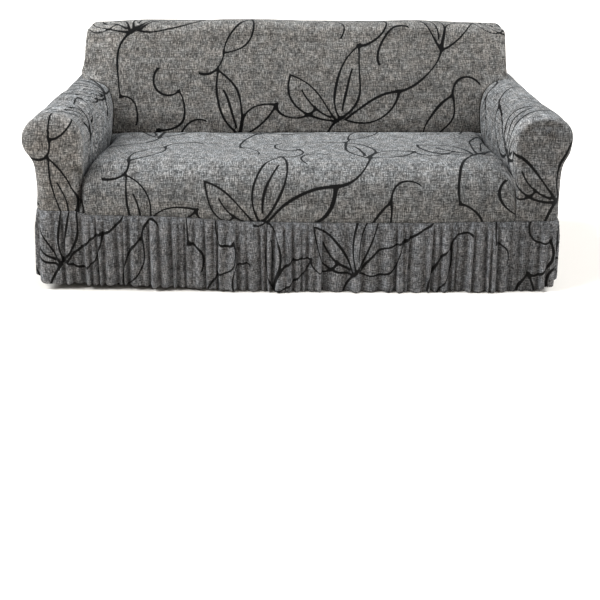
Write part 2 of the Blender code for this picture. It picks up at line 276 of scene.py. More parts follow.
def ripple(x, y, size, seed):
    # smooth irregular hills and hollows, about as far apart as the size says
    rng = np.random.default_rng(seed)
    count, total = 7, 0
    for _ in range(count):
        way, phase = rng.uniform(0, 2 * math.pi, 2)
        pitch = size * rng.uniform(0.7, 1.6)
        total = total + np.sin((x * math.cos(way) + y * math.sin(way)) * 2 * math.pi / pitch + phase)
    return total / math.sqrt(count)


def hills(a, b, *rows, seed=0):
    # uneven cloth: rows of depth, size and seed
    return sum(depth * ripple(a, b, size, seed + own) for depth, size, own in rows)


def creases(across, along, depth, pitch, length, seed, width=0.45):
    # narrow soft troughs that run along
    line = ripple(across / pitch, along / length, 1.6, seed)
    return depth * -np.exp(-(line / width) ** 2)


# How the worn cover sits differently on its two sides, in metres: every panel follows it alike, so that
# the seams stay closed. A row says how far the cloth moves along x, y and z, then the limits within which:
# an axis, from where, to where, or with ~ a bump on that axis, its middle and width.
atFront = ("y", 0.50, 0.10)
underBack = (("y~", 0.585, 0.10), ("z~", 0.43, 0.06))
besideFront = (("y", 0.13, 0.04), ("z", 0.272, 0.33), ("z", 0.47, 0.43))
onFlank = (("x", 0.85, 0.93), ("z", 0.58, 0.50), atFront)
backsEnd = (("x", -0.70, -0.84), ("z", 0.62, 0.67))
worn = {
    "shifts": (
        # skirt seam higher to the left, the back's top lower towards its corners, seat higher under the back
        ((0, 0, 0.014), ("x", 0.1, -0.75), ("z", 0.4, 0.26), ("y", 0.8, 0.1)),
        ((0, 0, -0.011), ("x", -0.6, -0.84), ("z", 0.7, 0.86)),
        ((0, 0, -0.005), ("x", 0.55, 0.84), ("z", 0.7, 0.86)),
        ((0, 0, 0.006), *underBack),
        ((0, 0, 0.009), ("x", -0.7, 0.6), *underBack),
        # seam beside the left arm front drawn in, and the right one filled out
        ((0, 0.03, 0), ("x~", -0.774, 0.014), *besideFront),
        ((0, -0.016, 0), ("x~", 0.774, 0.024), *besideFront),
        # right arm fuller over its front corner and down its outer side
        ((0.0088, 0, 0.0077), ("x~", 0.945, 0.06), ("z~", 0.615, 0.06), atFront),
        ((0.00525, 0, 0), *onFlank),
        ((0.00175, 0, 0), ("z", 0.26, 0.33), *onFlank),
        # left arm fuller there too and under its roll, but lower beside the back
        ((-0.004, 0, 0.0035), ("x~", -0.945, 0.06), ("z~", 0.62, 0.06), atFront),
        ((-0.009, 0, 0), ("x~", -0.96, 0.05), ("z~", 0.525, 0.04), atFront),
        ((0, 0, -0.009), ("x", -0.74, -0.8), ("y", 0.3, 0.55), ("z", 0.54, 0.62), ("z", 0.73, 0.66)),
        # back's left end further out, most where it meets the arm, and its top corner rounder
        ((-0.01, 0, 0), *backsEnd),
        ((-0.008, 0, 0), ("z~", 0.675, 0.03), *backsEnd),
        ((0.009, 0, 0), ("x~", -0.87, 0.05), ("z~", 0.845, 0.045)),
    ),
    "hemShifts": (
        ((0, 0.02, 0), ("x", -0.1, -0.6), ("y", 0.5, 0.1)),  # left part of the front hem further back
        ((-0.007, 0, 0), ("x", -0.75, -0.93)),  # and the left hem further out
    ),
    "tuck": (0.036, 0.022),  # seams between the seat and the arms drawn down, left and right
    "tuckWidth": (0.01, 0.03, 0.02),  # width of a tuck on the arm, on the seat to the left, to the right
    "tuckAt": (("y", 0.0, 0.05), ("y", 0.6, 0.5), ("z", 0.36, 0.4), ("z", 0.52, 0.45)),
    "paintedShade": (0.75, 0.35),  # painted shade: how much darker the cloth is in the tucks, left and right
    # painted shade in the seam beside the left arm front
    "paintedShadeFront": (0.45, ("x~", -0.774, 0.01), *besideFront),
    "seamLine": (  # across, and how much higher the front skirt seam runs there
        (-0.95, 0.009), (-0.79, 0.009), (-0.745, -0.006), (-0.42, -0.007), (-0.22, -0.017),
        (0.45, -0.017), (0.6, -0.013), (0.8, -0.009), (0.95, -0.008),
    ),
    "seamFades": (0.4, 0.45, 0.05),  # height over which that dies out, and depths
}


def tucked(at):
    # 1 at the seams between the seat and the arms, 0 away from them
    foot = mix(armTable[0, 0], armTable[0, 2], smooth(at["y"], 0.0, arm["taperEnd"]))
    fromSeam = at["across"] - foot
    onArm, left, right = worn["tuckWidth"]
    wide = np.where(fromSeam > 0, onArm, np.where(at["x"] < 0, left, right))
    return np.exp(-(fromSeam / wide) ** 2) * within(at, worn["tuckAt"])


def shaded(at):
    # painted shade: how much darker the cloth is down in its tucks
    return np.where(at["x"] < 0, *worn["paintedShade"]) * tucked(at) ** 2 + spread(at, [worn["paintedShadeFront"]])


def sitOnSofa(at):
    # offset of the cloth at each point
    shifts, hemShifts = (sum(np.array(shift) * within(at, limits)[:, None] for shift, *limits in worn[key])
                         for key in ("shifts", "hemShifts"))
    low = np.clip(1 - at["z"] / cloth["seam"], 0, 1)
    offset = shifts + hemShifts * low[:, None]
    top, deep, near = worn["seamFades"]
    band = (1 - low) * smooth(at["z"], top, cloth["seam"]) * smooth(at["y"], deep, near)
    offset[:, 2] += np.interp(at["x"], *zip(*worn["seamLine"])) * band
    offset[:, 2] -= np.where(at["x"] < 0, *worn["tuck"]) * tucked(at)
    return offset


def edgeDistance(work):
    # how far each vertex of a panel lies from its edge
    rim = [vertex.co for vertex in work.verts if vertex.is_boundary]
    tree = kdtree.KDTree(len(rim))
    for i, place in enumerate(rim):
        tree.insert(place, i)
    tree.balance()
    return np.array([tree.find(vertex.co)[2] for vertex in work.verts])


def readAll(group, key, size, kind=np.float32):
    # one kind of a mesh's data, a row for each of its parts
    values = np.empty(len(group) * size, kind)
    group.foreach_get(key, values)
    return values.reshape(-1, size)


def layBakeMap(mesh, rows, outerCount):
    # the panel's cloth cut into rows on one square, with the lining side squeezed in above them
    flat = readAll(mesh.uv_layers["cloth"].uv, "vector", 2)
    start, total = (readAll(mesh.polygons, key, 1, np.int32)[:, 0] for key in ("loop_start", "loop_total"))
    face = np.repeat(np.arange(len(start)), total)
    low, high = flat.min(0), flat.max(0)
    share = (flat - low) / (high - low)
    middle = np.add.reduceat(share[:, 0], start) / total
    row = np.clip((middle * rows).astype(int), 0, rows - 1)[face]
    margin, innerFoot, innerHead = 0.006, 0.87, 0.99
    x = margin + (share[:, 0] * rows - row) * (1 - 2 * margin)
    y = (row + mix(margin, 1 - margin, share[:, 1])) / rows
    y = np.where(face >= outerCount, mix(innerFoot, innerHead, y), y * (innerFoot - margin))
    layer = mesh.uv_layers.new(name="OFBake")
    layer.uv.foreach_set("vector", np.stack([x, y], 1).astype(np.float32).ravel())
    mesh.uv_layers.active = mesh.uv_layers["cloth"]


def joinPatches(name, patches, core, origin):
    # a mesh of patches that share their edges, facing away from the core they cover, with its distances
    points, faces, flats = [], [], []
    for grid, flat in patches:
        n, m = grid.shape[:2]
        base = sum(len(p) for p in points)
        points.append(grid.reshape(-1, 3) - (0, cloth["depth"] / 2, 0))
        number = base + np.arange(n * m).reshape(n, m)
        corners = (number[:-1, :-1], number[:-1, 1:], number[1:, 1:], number[1:, :-1])
        quads = np.stack(corners, -1).reshape(-1, 4)
        faces.append(quads)
        flats.append(flat.reshape(-1, 2)[quads - base].reshape(-1, 2) + origin)
    mesh = bpy.data.meshes.new(name)
    mesh.from_pydata(np.vstack(points).tolist(), [], np.vstack(faces).tolist())
    mesh.uv_layers.new(name="cloth").uv.foreach_set("vector", np.vstack(flats).astype(np.float32).ravel())
    work = bmesh.new()
    work.from_mesh(mesh)
    bmesh.ops.remove_doubles(work, verts=work.verts, dist=2e-5)
    bmesh.ops.recalc_face_normals(work, faces=work.faces)
    inside = Vector(core)
    facing = sum(f.normal.dot(f.calc_center_median() - inside) * f.calc_area() for f in work.faces)
    if facing < 0:
        bmesh.ops.reverse_faces(work, faces=work.faces)
    edge = edgeDistance(work)
    work.to_mesh(mesh)
    work.free()
    return mesh, edge


def sewSheet(name, patches, core, shape, material, bakeRows, origin):
    # one panel of cloth, shaped and thickened. The share is the cut's area over its rectangle's.
    mesh, edge = joinPatches(name, patches, core, origin)
    place = readAll(mesh.vertices, "co", 3).astype(float)
    normal = readAll(mesh.vertex_normals, "vector", 3)
    x, y, z = place.T
    at = {"x": x, "y": y + cloth["depth"] / 2, "z": z, "across": abs(x), "edge": edge}
    push, pale = shape(at)
    # pale is painted light and shade, kept in the pale attribute that scales the cloth's colour
    pale = pale - shaded(at) - cloth["paintedLightToLeft"] * x
    place = place + normal * push[:, None] + sitOnSofa(at)
    mesh.vertices.foreach_set("co", place.astype(np.float32).ravel())
    mesh.attributes.new("pale", "FLOAT", "POINT").data.foreach_set("value", pale.astype(np.float32))
    mesh.shade_smooth()
    area = sum(face.area for face in mesh.polygons)
    outerCount = len(mesh.polygons)
    piece = bpy.data.objects.new(name + "_cloth", mesh)
    bpy.context.scene.collection.objects.link(piece)
    bpy.ops.object.select_all(action="DESELECT")
    piece.select_set(True)
    bpy.context.view_layer.objects.active = piece
    thick = piece.modifiers.new("cloth", "SOLIDIFY")
    thick.thickness = cloth["thick"]
    thick.offset = -1
    bpy.ops.object.modifier_apply(modifier=thick.name)
    mesh = piece.data
    layBakeMap(mesh, bakeRows, outerCount)
    mesh.materials.append(material)
    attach(piece, "root")
    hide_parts(name)
    print(name, "area %.3f" % area, "faces", len(mesh.polygons))


loom = {}  # holds the node tree that the next functions add to


def addNode(kind, **settings):
    made = loom["tree"].nodes.new("ShaderNode" + kind)
    for key, value in settings.items():
        setattr(made, key, value)
    return made


def feed(socket, value):
    if isinstance(value, bpy.types.NodeSocket):
        loom["tree"].links.new(value, socket)
    else:
        socket.default_value = value


def calc(operation, *values, kind="Math", output=0):
    made = addNode(kind, operation=operation)
    for socket, value in zip(made.inputs, values):
        feed(socket, value)
    return made.outputs[output]


def vectorCalc(operation, *values):
    return calc(operation, *values, kind="VectorMath",
                output="Value" if operation == "DISTANCE" else "Vector")


def noise(place, scale, detail, rough=0.5):
    made = addNode("TexNoise", noise_dimensions="2D")
    for name, value in zip(("Vector", "Scale", "Detail", "Roughness"), (place, scale, detail, rough)):
        feed(made.inputs[name], value)
    return made


def speckle(place, scale, detail=1.0, rough=0.5):
    # noise on the flat cloth, with its own number of spots to the metre each way
    stretched = vectorCalc("MULTIPLY", place, (*scale, 1.0))
    return noise(stretched, 1.0, detail, rough).outputs["Fac"]


def between(value, low, high, to=(0.0, 1.0), curve="SMOOTHSTEP"):
    made = addNode("MapRange", interpolation_type=curve)
    feed(made.inputs["Value"], value)
    for name, number in zip(("From Min", "From Max", "To Min", "To Max"), (low, high, *to)):
        feed(made.inputs[name], number)
    return made.outputs["Result"]


def mixColours(share, a, b, blend="MIX"):
    made = addNode("Mix", data_type="RGBA", blend_type=blend)
    for number, value in ((0, share), (6, a), (7, b)):
        feed(made.inputs[number], value)
    return made.outputs[2]


# The print: outlined leaves on long stems, drawn in one tile that steps down half its height each time
# it repeats across. Metres on the flat cloth.
leafPrint = {
    "tile": (0.80, 0.70),
    "leaves": (  # base x, base y, tip x, tip y, bulge to the left, bulge to the right
        (0.215, 0.120, 0.300, 0.430, 0.050, 0.052),
        (0.200, 0.105, 0.020, 0.290, 0.062, 0.030),
        (0.235, 0.115, 0.470, 0.235, 0.030, 0.056),
        (0.610, 0.395, 0.545, 0.655, 0.030, 0.060),
        (0.625, 0.385, 0.790, 0.530, 0.058, 0.026),
        (0.560, 0.020, 0.665, 0.205, 0.034, 0.048),
    ),
    "stems": (  # start x, start y, end x, end y, bulge to the left of the way, less than 0 to its right
        (0.222, 0.125, 0.150, -0.140, -0.040),
        (0.150, -0.140, 0.215, -0.245, 0.034),
        (0.228, 0.160, 0.285, 0.345, 0.010),
        (0.180, 0.122, 0.070, 0.225, 0.012),
        (0.620, 0.390, 0.470, 0.235, 0.034),
        (0.606, 0.430, 0.566, 0.580, -0.010),
        (0.300, 0.430, 0.385, 0.560, -0.052),
        (0.385, 0.560, 0.300, 0.655, 0.060),
        (0.790, 0.530, 0.930, 0.500, -0.050),
        (0.665, 0.205, 0.790, 0.260, 0.040),
        (0.560, 0.020, 0.470, -0.060, 0.030),
        (0.392, 0.345, 0.480, 0.470, 0.056),
    ),
    "line": 0.0043,  # half the width of a line
    "lineVaries": 0.0022,
    "softEdge": 0.0012,
    "web": 0.018,  # how widely lines that meet run together
    "wander": 0.050,  # how far the drawing strays from its table
    "wanderSpots": 2.6,  # and its turns to the metre
    "weightSpots": (7, 7),
    "fray": 0.002,  # roughness of a line's edge
    "fraySpots": (420, 420),
}


def arcThrough(ax, ay, bx, by, bulge):
    # circle through both ends, and the smaller circle round its bulge that cuts it off at them
    dx, dy = bx - ax, by - ay
    chord = math.hypot(dx, dy)
    rise = abs(bulge)
    radius = (chord ** 2 / 4 + rise ** 2) / (2 * rise)
    sideX, sideY = -dy / chord * math.copysign(1, bulge), dx / chord * math.copysign(1, bulge)
    middleX, middleY = (ax + bx) / 2, (ay + by) / 2
    centre = (middleX - sideX * (radius - rise), middleY - sideY * (radius - rise))
    top = (middleX + sideX * rise, middleY + sideY * rise)
    return centre, radius, top, math.hypot(chord / 2, rise)


def tilesReached(ax, ay, bx, by, bulge, margin=0.012):
    # steps of the repeat from which a line reaches into the tile
    width, height = leafPrint["tile"]
    reach = bulge + margin
    found = []
    for i in (-1, 0, 1):
        for j in (-1, 0, 1, 2):
            x, y = i * width, (j - i / 2) * height
            if (max(ax, bx) + reach + x > 0 and min(ax, bx) - reach + x < width
                    and max(ay, by) + reach + y > 0 and min(ay, by) - reach + y < height):
                found.append((x, y))
    return found


def printInk(place):
    # 1 on the printed lines, 0 off them
    width, height = leafPrint["tile"]
    stray = noise(place, leafPrint["wanderSpots"], 1.0).outputs["Color"]
    offset = vectorCalc("SUBTRACT", stray, (0.5, 0.5, 0.5))
    offset = vectorCalc("MULTIPLY", offset, (leafPrint["wander"] * 2, leafPrint["wander"] * 2, 0.0))
    drawn = addNode("SeparateXYZ")
    feed(drawn.inputs[0], vectorCalc("ADD", place, offset))
    column = calc("FLOOR", calc("DIVIDE", drawn.outputs["X"], width))
    joined = addNode("CombineXYZ")
    feed(joined.inputs["X"], calc("SUBTRACT", drawn.outputs["X"], calc("MULTIPLY", column, width)))
    y = calc("ADD", drawn.outputs["Y"], calc("MULTIPLY", column, height / 2))
    feed(joined.inputs["Y"], calc("WRAP", y, height, 0.0))

    def away(centre, step):
        return vectorCalc("DISTANCE", joined.outputs[0], (centre[0] + step[0], centre[1] + step[1], 0.0))

    def off(distance, radius):
        return calc("ABSOLUTE", calc("SUBTRACT", distance, radius))

    lines = []
    for ax, ay, bx, by, left, right in leafPrint["leaves"]:
        one, radiusOne = arcThrough(ax, ay, bx, by, left)[:2]
        two, radiusTwo = arcThrough(ax, ay, bx, by, -right)[:2]
        for step in tilesReached(ax, ay, bx, by, max(left, right)):
            b = calc("SUBTRACT", away(two, step), radiusTwo - radiusOne)
            lines.append(off(calc("MAXIMUM", away(one, step), b), radiusOne))
    for ax, ay, bx, by, bulge in leafPrint["stems"]:
        centre, radius, top, reach = arcThrough(ax, ay, bx, by, bulge)
        for step in tilesReached(ax, ay, bx, by, abs(bulge)):
            b = calc("SUBTRACT", away(top, step), reach)
            lines.append(calc("MAXIMUM", off(away(centre, step), radius), b))
    nearest = lines[0]
    for line in lines[1:]:
        nearest = calc("SMOOTH_MIN", nearest, line, leafPrint["web"])
    weight = between(speckle(place, leafPrint["weightSpots"]), 0.3, 0.7, (-0.5, 0.5), "LINEAR")
    weight = calc("MULTIPLY_ADD", weight, leafPrint["lineVaries"], leafPrint["line"])
    fray = calc("SUBTRACT", speckle(place, leafPrint["fraySpots"]), 0.5)
    edge = calc("ADD", nearest, calc("MULTIPLY", fray, leafPrint["fray"]))
    edge = calc("SUBTRACT", edge, weight)
    return between(edge, -leafPrint["softEdge"], leafPrint["softEdge"], (1.0, 0.0))


# The weave: heathered yarns that run both ways, in shades from near black to pale grey
weave = {
    "layers": (  # spots to the metre along the width and the length, detail, roughness, share
        (60, 300, 2.0, 0.6, 0.55),  # slubs along the width
        (300, 44, 2.0, 0.6, 0.70),  # and along the length
        (6, 230, 1.0, 0.5, 0.22),  # long lines of the weave
        (190, 190, 2.0, 0.7, 0.45),  # flecks
        (30, 22, 2.0, 0.6, 0.28),  # clouds
    ),
    "shades": ((0.22, 0.026), (0.38, 0.058), (0.50, 0.095), (0.62, 0.145), (0.80, 0.265)),
    "contrast": 1.4,
    "warmth": ((1.055, 1.0, 0.940), (1.015, 1.0, 0.970)),
    "warmSpots": (24, 30),
    "ink": (0.0032, 0.0029, 0.0026),
    "inkDent": -0.35,
    "bump": 0.55,
    "yarn": 0.0009,  # depth of the bump
    "surface": {
        "Roughness": 0.95,
        "Specular IOR Level": 0.12,
        "Sheen Weight": 0.035,
        "Sheen Roughness": 0.45,
        "Sheen Tint": (0.90, 0.96, 1.0, 1.0),
    },
}


def clothMaterial(name, tint):
    made = bpy.data.materials.new(name)
    made.use_nodes = True
    loom["tree"] = made.node_tree
    shader = made.node_tree.nodes["Principled BSDF"]
    place = addNode("UVMap", uv_map="cloth").outputs[0]
    value, total = 0.0, 0.0
    for *scale, detail, rough, share in weave["layers"]:
        value = calc("MULTIPLY_ADD", speckle(place, scale, detail, rough), share, value)
        total += share
    value = calc("MULTIPLY_ADD", calc("SUBTRACT", value, total / 2), weave["contrast"], 0.5)
    ramp = addNode("ValToRGB")
    feed(ramp.inputs[0], value)
    stops = ramp.color_ramp.elements
    while len(stops) < len(weave["shades"]):
        stops.new(0.5)
    for stop, (at, grey) in zip(stops, weave["shades"]):
        stop.position = at
        stop.color = (*(grey * part for part in tint), 1.0)
    tone = between(speckle(place, weave["warmSpots"], 3.0), 0.35, 0.65)
    warmth = mixColours(tone, *((*colour, 1.0) for colour in weave["warmth"]))
    yarn = mixColours(1.0, ramp.outputs[0], warmth, "MULTIPLY")
    # painted light and shade: the pale attribute brightens or darkens the yarn
    pale = addNode("Attribute", attribute_name="pale").outputs["Fac"]
    yarn = vectorCalc("MULTIPLY", yarn, calc("ADD", pale, 1.0))
    ink = printInk(place)
    feed(shader.inputs["Base Color"], mixColours(ink, yarn, (*weave["ink"], 1.0)))
    bump = addNode("Bump")
    height = calc("MULTIPLY_ADD", ink, weave["inkDent"], value)
    for socket, number in (("Strength", weave["bump"]), ("Distance", weave["yarn"]), ("Height", height)):
        feed(bump.inputs[socket], number)
    feed(shader.inputs["Normal"], bump.outputs[0])
    for socket, number in weave["surface"].items():
        shader.inputs[socket].default_value = number
    return made


# Copies of one cloth: the back and the left arm front warmer and the right arm front darker, as painted light
# and shade; the skirt darker and cooler
tints = {
    "body": (1.0, 1.0, 1.0),
    "back": (1.04, 1.0, 0.95),
    "left arm front": (1.0, 0.965, 0.93),
    "right arm front": (0.85, 0.845, 0.85),
    "skirt": (0.87, 0.88, 0.92),
}
cloths = {name: clothMaterial(name + " cloth", tint) for name, tint in tints.items()}
print("cloth woven")


def armCurve():
    # the arm's front edge from the inner end of the skirt seam, over the roll, to the outer end
    legSteps = np.linspace(0, 2, 23)
    corner = [*armSection(0, armRim(0)), armRim(0)]
    leg = np.array([*arm["leg"], corner])
    legPoints = np.stack([np.interp(legSteps, [0, 1, 2], leg[:, k]) for k in range(3)], 1)[:-1]
    rims = armRim(armPlaces)
    x, z = armSection(armPlaces, rims)
    points = np.vstack([legPoints, np.stack([x, z, rims], 1)])
    points[[0, -1], 1] = seamTop
    return points, len(legPoints)


def armPatches():
    start, end = armRim(armPlaces), armEnd(armPlaces) - gap
    depth = mix(start[:, None], end[:, None], np.linspace(0, 1, armSpans + 1)[None])
    x, z = armSection(armPlaces[:, None], depth)
    z[-1] = seamTop
    run = runAlong(np.stack(armSection(armPlaces, arm["taperEnd"] / 2), 1))[:, None]
    main = patch(x, depth, z, depth, run)
    first = len(armPlaces) - len(outerPlaces)
    behind = mix(end[-1], rearSeam - gap, np.linspace(0, 1, 9))[None]
    x, z = armSection(outerPlaces[:, None], np.full_like(behind, cloth["depth"]))
    z[-1] = seamTop
    return [main, patch(x, behind, z, behind, run[first:])]


def heldAtSeams(at, push, width):
    # a shape that dies out towards the panel's edge, and dips a little into the skirt seam
    depth, dip = cloth["dent"]
    return smooth(at["edge"], 0.001, width) * push - depth * np.exp(-((at["z"] - cloth["seam"]) / dip) ** 2)


armLook = {
    "seeds": (23, 11),  # left and right, as in every pair below
    "folds": (0.01, 0.0035),  # folds over the roll and down its inner side
    "foldsFrom": (0.25, 0.34),  # depth about which they lie
    "foldSize": (0.15, 0.6),  # how far apart they are and how long, on their fan
    "fanFrom": 0.15,  # depth of the tuck that they fan out from
    "fine": (0.0005, 0.1, 4),  # finer unevenness among them
    "puckers": (0.005, 0.016, 0.09),  # short upright ones beside the back: depth, how far apart, how long
    "puckersAt": (("y~", 0.5, 0.09), ("z~", 0.5, 0.09)),
    "outside": (0.0018, 0.05, 0.35),  # long soft folds down the outer side
    "slack": (0.0008, 0.16, 2),  # hills and hollows: depth, size, seed
    "shades": (  # painted light: paler on the left near the front of the roll, on the right over its rim, inside and behind
        ((0.35, ("across~", 0.895, 0.06), ("y~", 0.06, 0.1), ("z", 0.58, 0.61)),),
        (
            (0.46, ("y", 0.09, 0.055), ("across", 0.9, 0.85), ("z", 0.42, 0.48)),
            (0.15, ("across", 0.81, 0.77), ("z", 0.42, 0.48)),
            (0.225, ("across", 0.81, 0.77), ("y", 0.3, 0.1), ("z", 0.42, 0.48)),
            (0.2, ("across~", 0.85, 0.06), ("y~", 0.42, 0.1), ("z", 0.58, 0.61)),
        ),
    ),
}


def armShape(right):
    seed = armLook["seeds"][right]

    def shape(at):
        y, z, across = at["y"], at["z"], at["across"]
        inner = smooth(across, 0.93, 0.82)
        middle = np.exp(-((y - armLook["foldsFrom"][right]) / 0.20) ** 2) * mix(0.35, 1, inner)
        rise = np.maximum(z - 0.43 + 1.2 * np.maximum(across - 0.78, 0), 0)
        fan = (y - armLook["fanFrom"]) / (rise + 0.10)
        folds = creases(fan, rise, armLook["folds"][right], *armLook["foldSize"], seed, 0.30)
        push = (folds * smooth(rise, 0.0, 0.05) + hills(fan, 2 * rise, armLook["fine"], seed=seed)) * middle
        push += creases(y, z, *armLook["puckers"], seed + 1) * inner * within(at, armLook["puckersAt"])
        push += hills(y, z + across, armLook["slack"], seed=seed)
        push += creases(y + 0.05 * z, z, *armLook["outside"], seed + 3) * smooth(across, 0.89, 0.93)
        return heldAtSeams(at, push, 0.040), spread(at, armLook["shades"][right])
    return shape


def rimRings(curve, side, radius, count):
    # rings that round a flat curve off on its inner side, their places on the cloth and their angles
    angles = quarter * np.linspace(0, 1, count)[:, None]
    parts = (1 - np.cos(angles), 1 - (quarter - angles))
    at, flat = (curve - side * (radius * part)[..., None] for part in parts)
    return at, flat, angles


def facePanel(at, ringDepth, flat, face, depth, way):
    # the rings and the face inside them, with the cloth's width running their way
    x, z = face[..., 0], face[..., 1]
    return [patch(at[..., 0], ringDepth, at[..., 1], way * flat[..., 0], flat[..., 1]),
            patch(x, depth, z, way * x, z)]


def armFrontPatches():
    points, legCount = armCurve()
    curve, rims = points[:, :2], points[:, 2]
    side = outward(curve)
    for _ in range(8):
        side[1:-1] = side[:-2] + 2 * side[1:-1] + side[2:]
        side /= np.linalg.norm(side, axis=1)[:, None]
    side[[0, -1]] = ((-1, 0), (1, 0))
    at, flat, angles = rimRings(curve, side, rims, 11)
    depth = rims * (1 - np.sin(angles))
    depth[0, legCount:] -= 2 * gap
    inner = curve - side * rims[:, None]
    return facePanel(at, depth, flat, fillInside(inner, round(len(inner) * 0.38)), 0.0, 1)


frontLook = {
    "seeds": (8, 5),
    "swell": (0.006, ("across~", 0.86, 0.09), ("z~", 0.47, 0.17)),
    "dish": (0.003, 0.019),  # how deep it is sunk inside its rounded rim, left and right
    "dishAt": (("edge", 0.03, 0.044), ("z", 0.4, 0.5)),
    "dishEven": (0.7, ("across", 0.87, 0.94)),  # how much of that it loses to the outside
    "slack": (0.0018, 0.11, 0),  # hills and hollows: depth, size, seed
    "pull": (0.0022, 0.03, 0.2),  # creases from where it meets the seat: depth, how far apart, how long
    "pullAt": (("across~", 0.8, 0.05), ("z~", 0.43, 0.09)),
    "shades": (  # painted shade low down, and on the right painted light along the rim
        ((-0.1, ("z", 0.46, 0.32)),),
        ((-0.1, ("z", 0.46, 0.32)),
         (0.46, ("edge", 0.036, 0.022), ("across", 0.93, 0.86), ("z", 0.42, 0.5))),
    ),
}


def armFrontShape(right):
    seed = frontLook["seeds"][right]

    def shape(at):
        x, z, across = at["x"], at["z"], at["across"]
        sunk = frontLook["dish"][right] * within(at, frontLook["dishAt"])
        pull = creases(z - 0.45 + 0.9 * (across - 0.78), across, *frontLook["pull"], seed + 1)
        push = spread(at, [frontLook["swell"]]) - sunk * (1 - spread(at, [frontLook["dishEven"]]))
        push += hills(x, z, frontLook["slack"], seed=seed) + pull * within(at, frontLook["pullAt"])
        return heldAtSeams(at, push, 0.03), spread(at, frontLook["shades"][right])
    return shape


def seatPatches():
    depth = mix(armRim(0), armEnd(0) - gap, np.linspace(0, 1, armSpans + 1))[::-1]
    x, z = armSection(0, depth)
    foot = np.stack([x, depth, z], 1)
    points, legCount = armCurve()
    leg = points[:legCount][::-1][:, [0, 2, 1]]
    edge = np.vstack([foot, leg])
    steps = np.concatenate([np.linspace(0, seat["alongArm"], len(foot)),
                            seat["alongArm"] + np.linspace(0, 2, legCount + 1)[1:]])
    places = np.interp(steps, np.arange(len(seat["places"])), seat["places"])
    line = spline(seat["rows"], places)
    y = np.minimum(line[:, 0], seat["rows"][0][0] - gap)[:, None]
    z = np.maximum(line[:, 1], seamTop)[:, None]
    run = runAt(seat["rows"], places, 400)[:, None]
    edgeX = edge[:, :1] - 2 * gap
    inner = edgeX - cloth["seatEnd"]
    middle = inner * np.linspace(-1, 1, 193)[None]
    flat = patch(middle, y, z, middle, -run)
    angle = quarter * np.linspace(0, 1, 8)[None]
    drop = 1 - np.cos(angle)
    x = inner + cloth["seatEnd"] * np.sin(angle)
    y, z = mix(y, edge[:, 1:2], drop), mix(z, edge[:, 2:3], drop)
    end = patch(x, y, z, inner + cloth["seatEnd"] * angle, -run)
    return [flat, end, *mirrored([end], True)]


seatLook = {
    "slack": ((0.0022, 0.34, 31), (0.0009, 0.1, 32)),  # hills and hollows: depth, size, seed
    "pull": (0.0032, 0.03, 0.16, 33),  # creases at the front corners: depth, distance, length, seed
    "pullAt": (("across~", 0.715, 0.07), ("y~", 0.03, 0.1)),
    "besideArm": (0.0018, 0.03, 0.1, 34),  # short ones beside the arms
    "apron": (0.0016, 0.1, 0.25, 35),  # long soft folds down the front
    "shades": (  # painted shade: how much darker the front is, and where
        (-0.12, ("z", 0.32, 0.27)),
        (-0.12, ("z", 0.31, 0.36), ("z", 0.44, 0.39)),
        (-0.03, ("z", 0.42, 0.36)),
        (-0.1, ("x", 0.35, 0.75), ("z", 0.42, 0.36)),
    ),
    "shadows": (  # and the left end of the seat, under the back and beside the arm
        (0.24, ("x", -0.4, -0.54), ("y", 0.36, 0.46)),
        (0.32, ("x", -0.62, -0.7), ("y", 0.12, 0.24)),
    ),
}


def seatShape(at):
    x, y, z, across = (at[axis] for axis in ("x", "y", "z", "across"))
    push = hills(x, y - z, *seatLook["slack"])
    push += creases(y - z + 0.7 * across, across, *seatLook["pull"]) * within(at, seatLook["pullAt"])
    push += creases(y, across, *seatLook["besideArm"]) * smooth(across, 0.62, 0.72) * (y > 0.05)
    push += creases(x, z, *seatLook["apron"]) * smooth(z, 0.40, 0.32)
    shadow = np.maximum(*(spread(at, [row]) for row in seatLook["shadows"]))
    return heldAtSeams(at, push, 0.05), spread(at, seatLook["shades"]) - shadow


def backEnd():
    # the rounded right-hand end: rings of depth and height, and their cloth
    start = float(np.interp(crown, faceLine[:, 1], facePlaces))
    places = evenPlaces(back["rows"], start, len(back["rows"]) - 1)
    profile = spline(back["rows"], places)
    angles = quarter * np.linspace(0, 1, 8)
    reach = back["endRound"] * (1 - np.cos(angles))
    rings = profile - outward(profile) * reach[:, None, None]
    rings[..., 0] = np.minimum(rings[..., 0], rearSeam - gap)
    rings[:, -1, 0] = rearSeam - gap
    rings[:, 0, 0] = backFace(crown) + reach
    rings[:, 0, 1] = spline(armRear, ringPlaces)[:, 1] + gap * (angles > 0)
    return rings, angles, runAt(back["rows"], places, 800)


def insideBackPatches():
    low = spline(armRear, innerPlaces)
    half = low[:, 0] - 2 * gap
    half[-1] = backEndStart
    share = np.linspace(-1, 1, 217)[None]
    x = half[:, None] * share
    z = low[:, 1][:, None]
    lowPatch = patch(x, backFace(z), z, x, backRun(z))
    rings, angles, run = backEnd()
    x = backEndStart * share
    highPatch = patch(x, rings[0][:, :1], rings[0][:, 1:], x, run[:, None])
    ringX = backEndStart + back["endRound"] * np.sin(angles)
    ringU = backEndStart + back["endRound"] * angles
    endPatch = patch(ringX[:, None], rings[..., 0], rings[..., 1], ringU[:, None], run[None])
    last = rings[-1]
    rearCount = 22
    down = np.linspace(last[-1, 1], last[0, 1], rearCount + 1)[1:]
    rear = np.stack([np.full(rearCount, rearSeam - gap), down], 1)
    face = fillInside(np.vstack([last, rear]), rearCount)
    y, z = face[..., 0], face[..., 1]
    u = ringU[-1] + y - backFace(z) - back["endRound"]
    facePatch = patch(back["halfWidth"], y, z, u, backRun(z))
    right = [endPatch, facePatch]
    return [lowPatch, highPatch, *right, *mirrored(right, True)]


